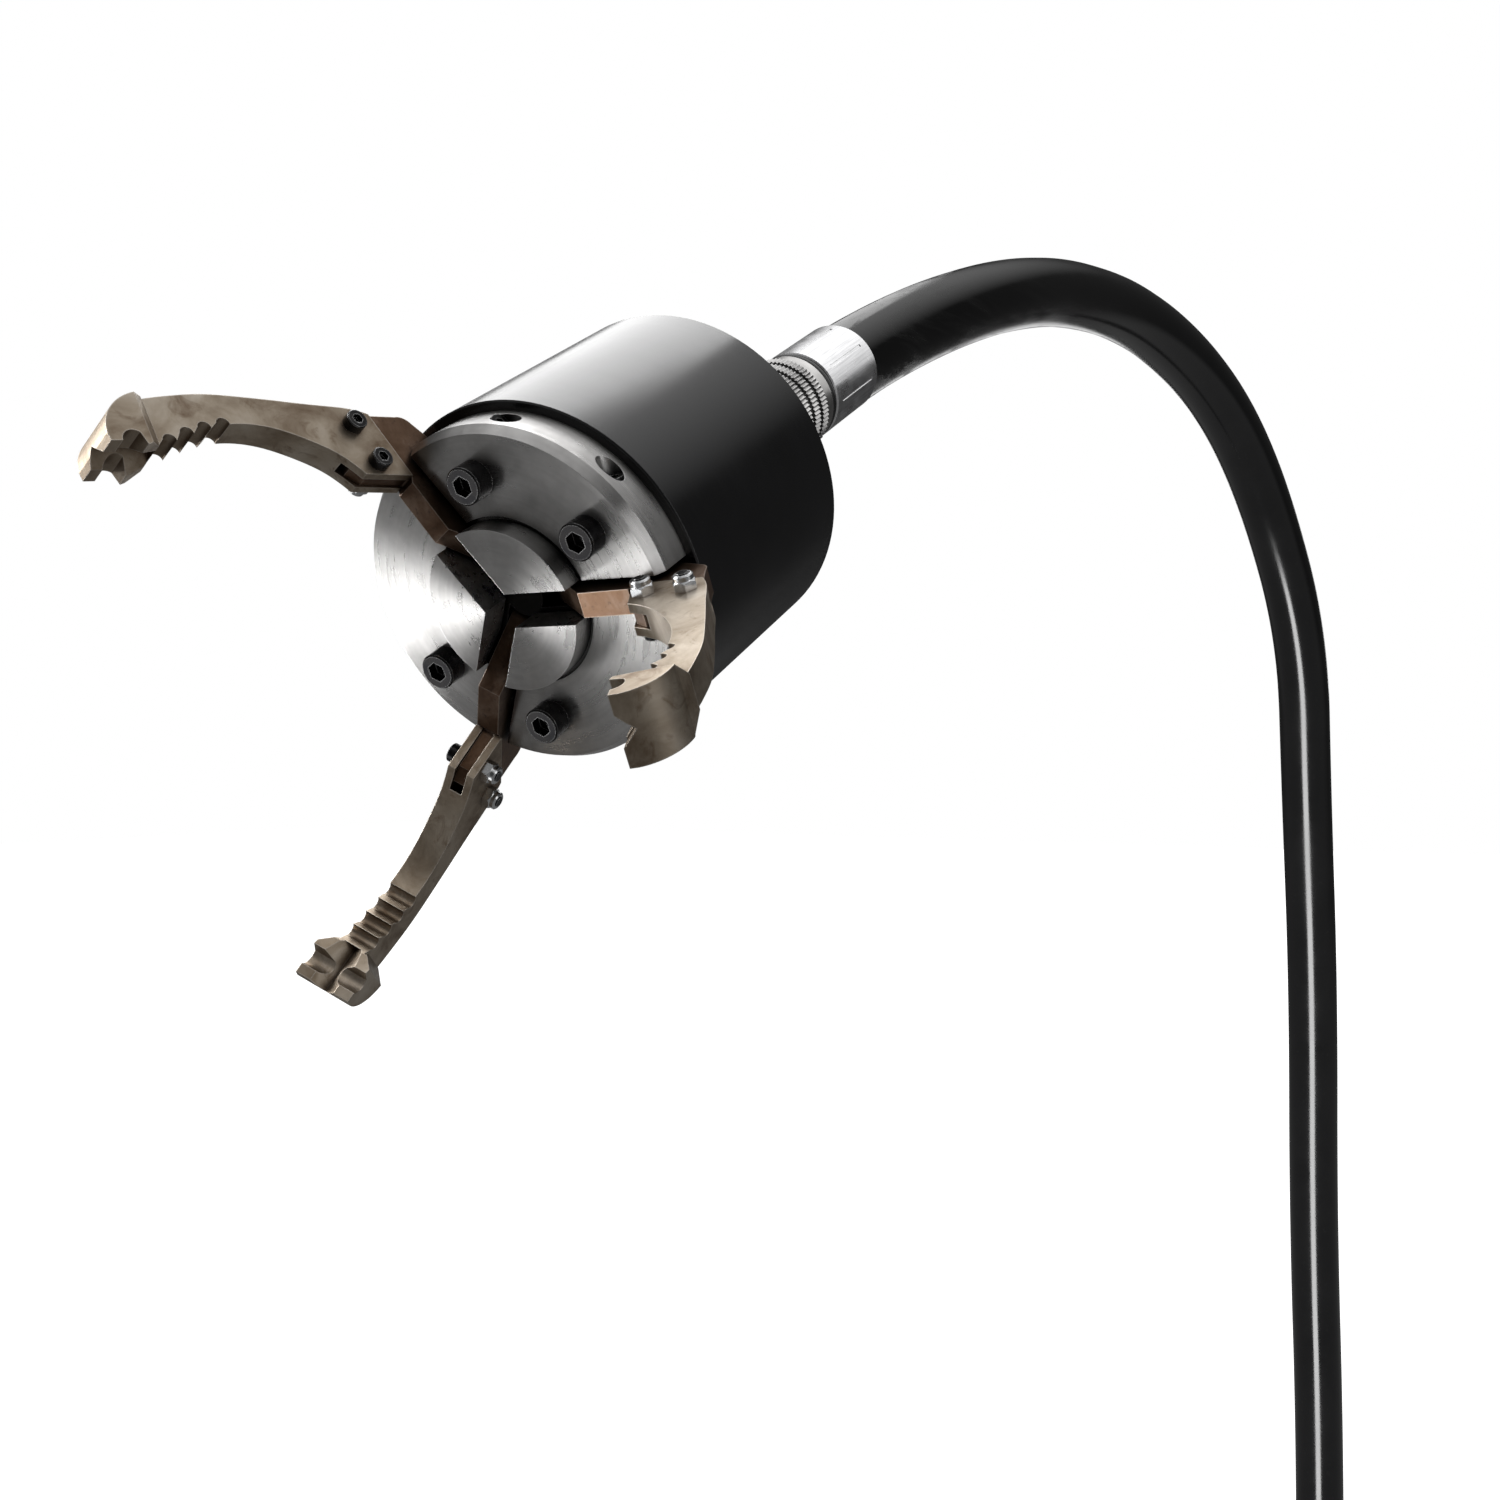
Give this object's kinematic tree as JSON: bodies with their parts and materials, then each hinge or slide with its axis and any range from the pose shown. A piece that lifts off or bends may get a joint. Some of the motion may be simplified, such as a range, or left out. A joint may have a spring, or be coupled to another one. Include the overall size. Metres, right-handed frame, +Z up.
{
  "type": "pneumatic gripper",
  "caption": "Pneumatic gripper with toothed jaws on pivoting levers around a turned face, a cylindrical black housing and an arched rubber air hose with crimped fittings.",
  "frame": {"origin": "centre of the shoulder above the male thread on the lower hose fitting", "axes": "+Z up, +X horizontally the way the gripper points, its nose 28 degrees down"},
  "size_m": [0.9019, 0.1439, 0.7924],
  "materials": {
    "housing_black": "satin black anodised",
    "flange_steel": "turned, fine concentric brushing",
    "screw_black": "black oxide",
    "pin_steel": "ground",
    "lever_bronze": "heat-tinted, brown",
    "jaw_nickel": "bead-blasted, warm grey",
    "zinc_nut": "zinc plated",
    "crosshead_steel": "black oxide",
    "rod_steel": "ground",
    "piston_aluminium": "turned",
    "seal_rubber": "satin",
    "guide_plastic": "matte",
    "spring_steel": "drawn",
    "fitting_steel": "turned",
    "knurl_steel": "fine knurl",
    "ferrule_metal": "bright, crimped",
    "hose_rubber": "satin"
  },
  "bodies": {
    "head": {"housing": "housing_black", "front_flange": "flange_steel", "flange_screws": "screw_black", "pivot_pins": "pin_steel", "pin_set_screws": "screw_black", "closing_spring": "spring_steel", "inlet_nipple": "fitting_steel", "coupling_nut": "knurl_steel", "hose_stem": "fitting_steel", "gland_ring": "seal_rubber", "upper_ferrule": "ferrule_metal", "hose": "hose_rubber", "lower_ferrule": "ferrule_metal", "lower_fitting": "fitting_steel"},
    "piston": {"crosshead": "crosshead_steel", "piston_rod": "rod_steel", "piston": "piston_aluminium", "piston_nut": "zinc_nut", "piston_seal": "seal_rubber", "piston_guide_ring": "guide_plastic"},
    "lever_1": {"lever_1": "lever_bronze", "drive_pin_1": "pin_steel", "jaw_1": "jaw_nickel", "jaw_bolts_1": "screw_black", "jaw_nuts_1": "zinc_nut"},
    "lever_2": {"lever_2": "lever_bronze", "drive_pin_2": "pin_steel", "jaw_2": "jaw_nickel", "jaw_bolts_2": "screw_black", "jaw_nuts_2": "zinc_nut"},
    "lever_3": {"lever_3": "lever_bronze", "drive_pin_3": "pin_steel", "jaw_3": "jaw_nickel", "jaw_bolts_3": "screw_black", "jaw_nuts_3": "zinc_nut"}
  },
  "joints": [
    {"name": "piston_slide", "type": "slide", "parent": "head", "child": "piston", "axis": [-0.8829, 0, 0.4695], "range_m": [0, 0.01595], "deforming": ["closing_spring"]},
    {"name": "lever_1_hinge", "type": "hinge", "parent": "head", "child": "lever_1", "pos_m": [0.78763, -0.04185, 0.62296], "axis": [0.2347, 0.866, 0.4415], "range_deg": [0, 43.1]},
    {"name": "lever_2_hinge", "type": "hinge", "parent": "head", "child": "lever_2", "pos_m": [0.7586, -0.04185, 0.56836], "axis": [0.2347, -0.866, 0.4415], "range_deg": [0, 49.6]},
    {"name": "lever_3_hinge", "type": "hinge", "parent": "head", "child": "lever_3", "pos_m": [0.77311, 0.0117, 0.59566], "axis": [-0.4695, 0, -0.8829], "range_deg": [0, 43.1]}
  ],
  "couplings": [
    {"joint": "lever_1_hinge", "follows": "piston_slide", "rad_per_m": 47.055},
    {"joint": "lever_2_hinge", "follows": "piston_slide", "rad_per_m": 54.168},
    {"joint": "lever_3_hinge", "follows": "piston_slide", "rad_per_m": 47.055}
  ]
}
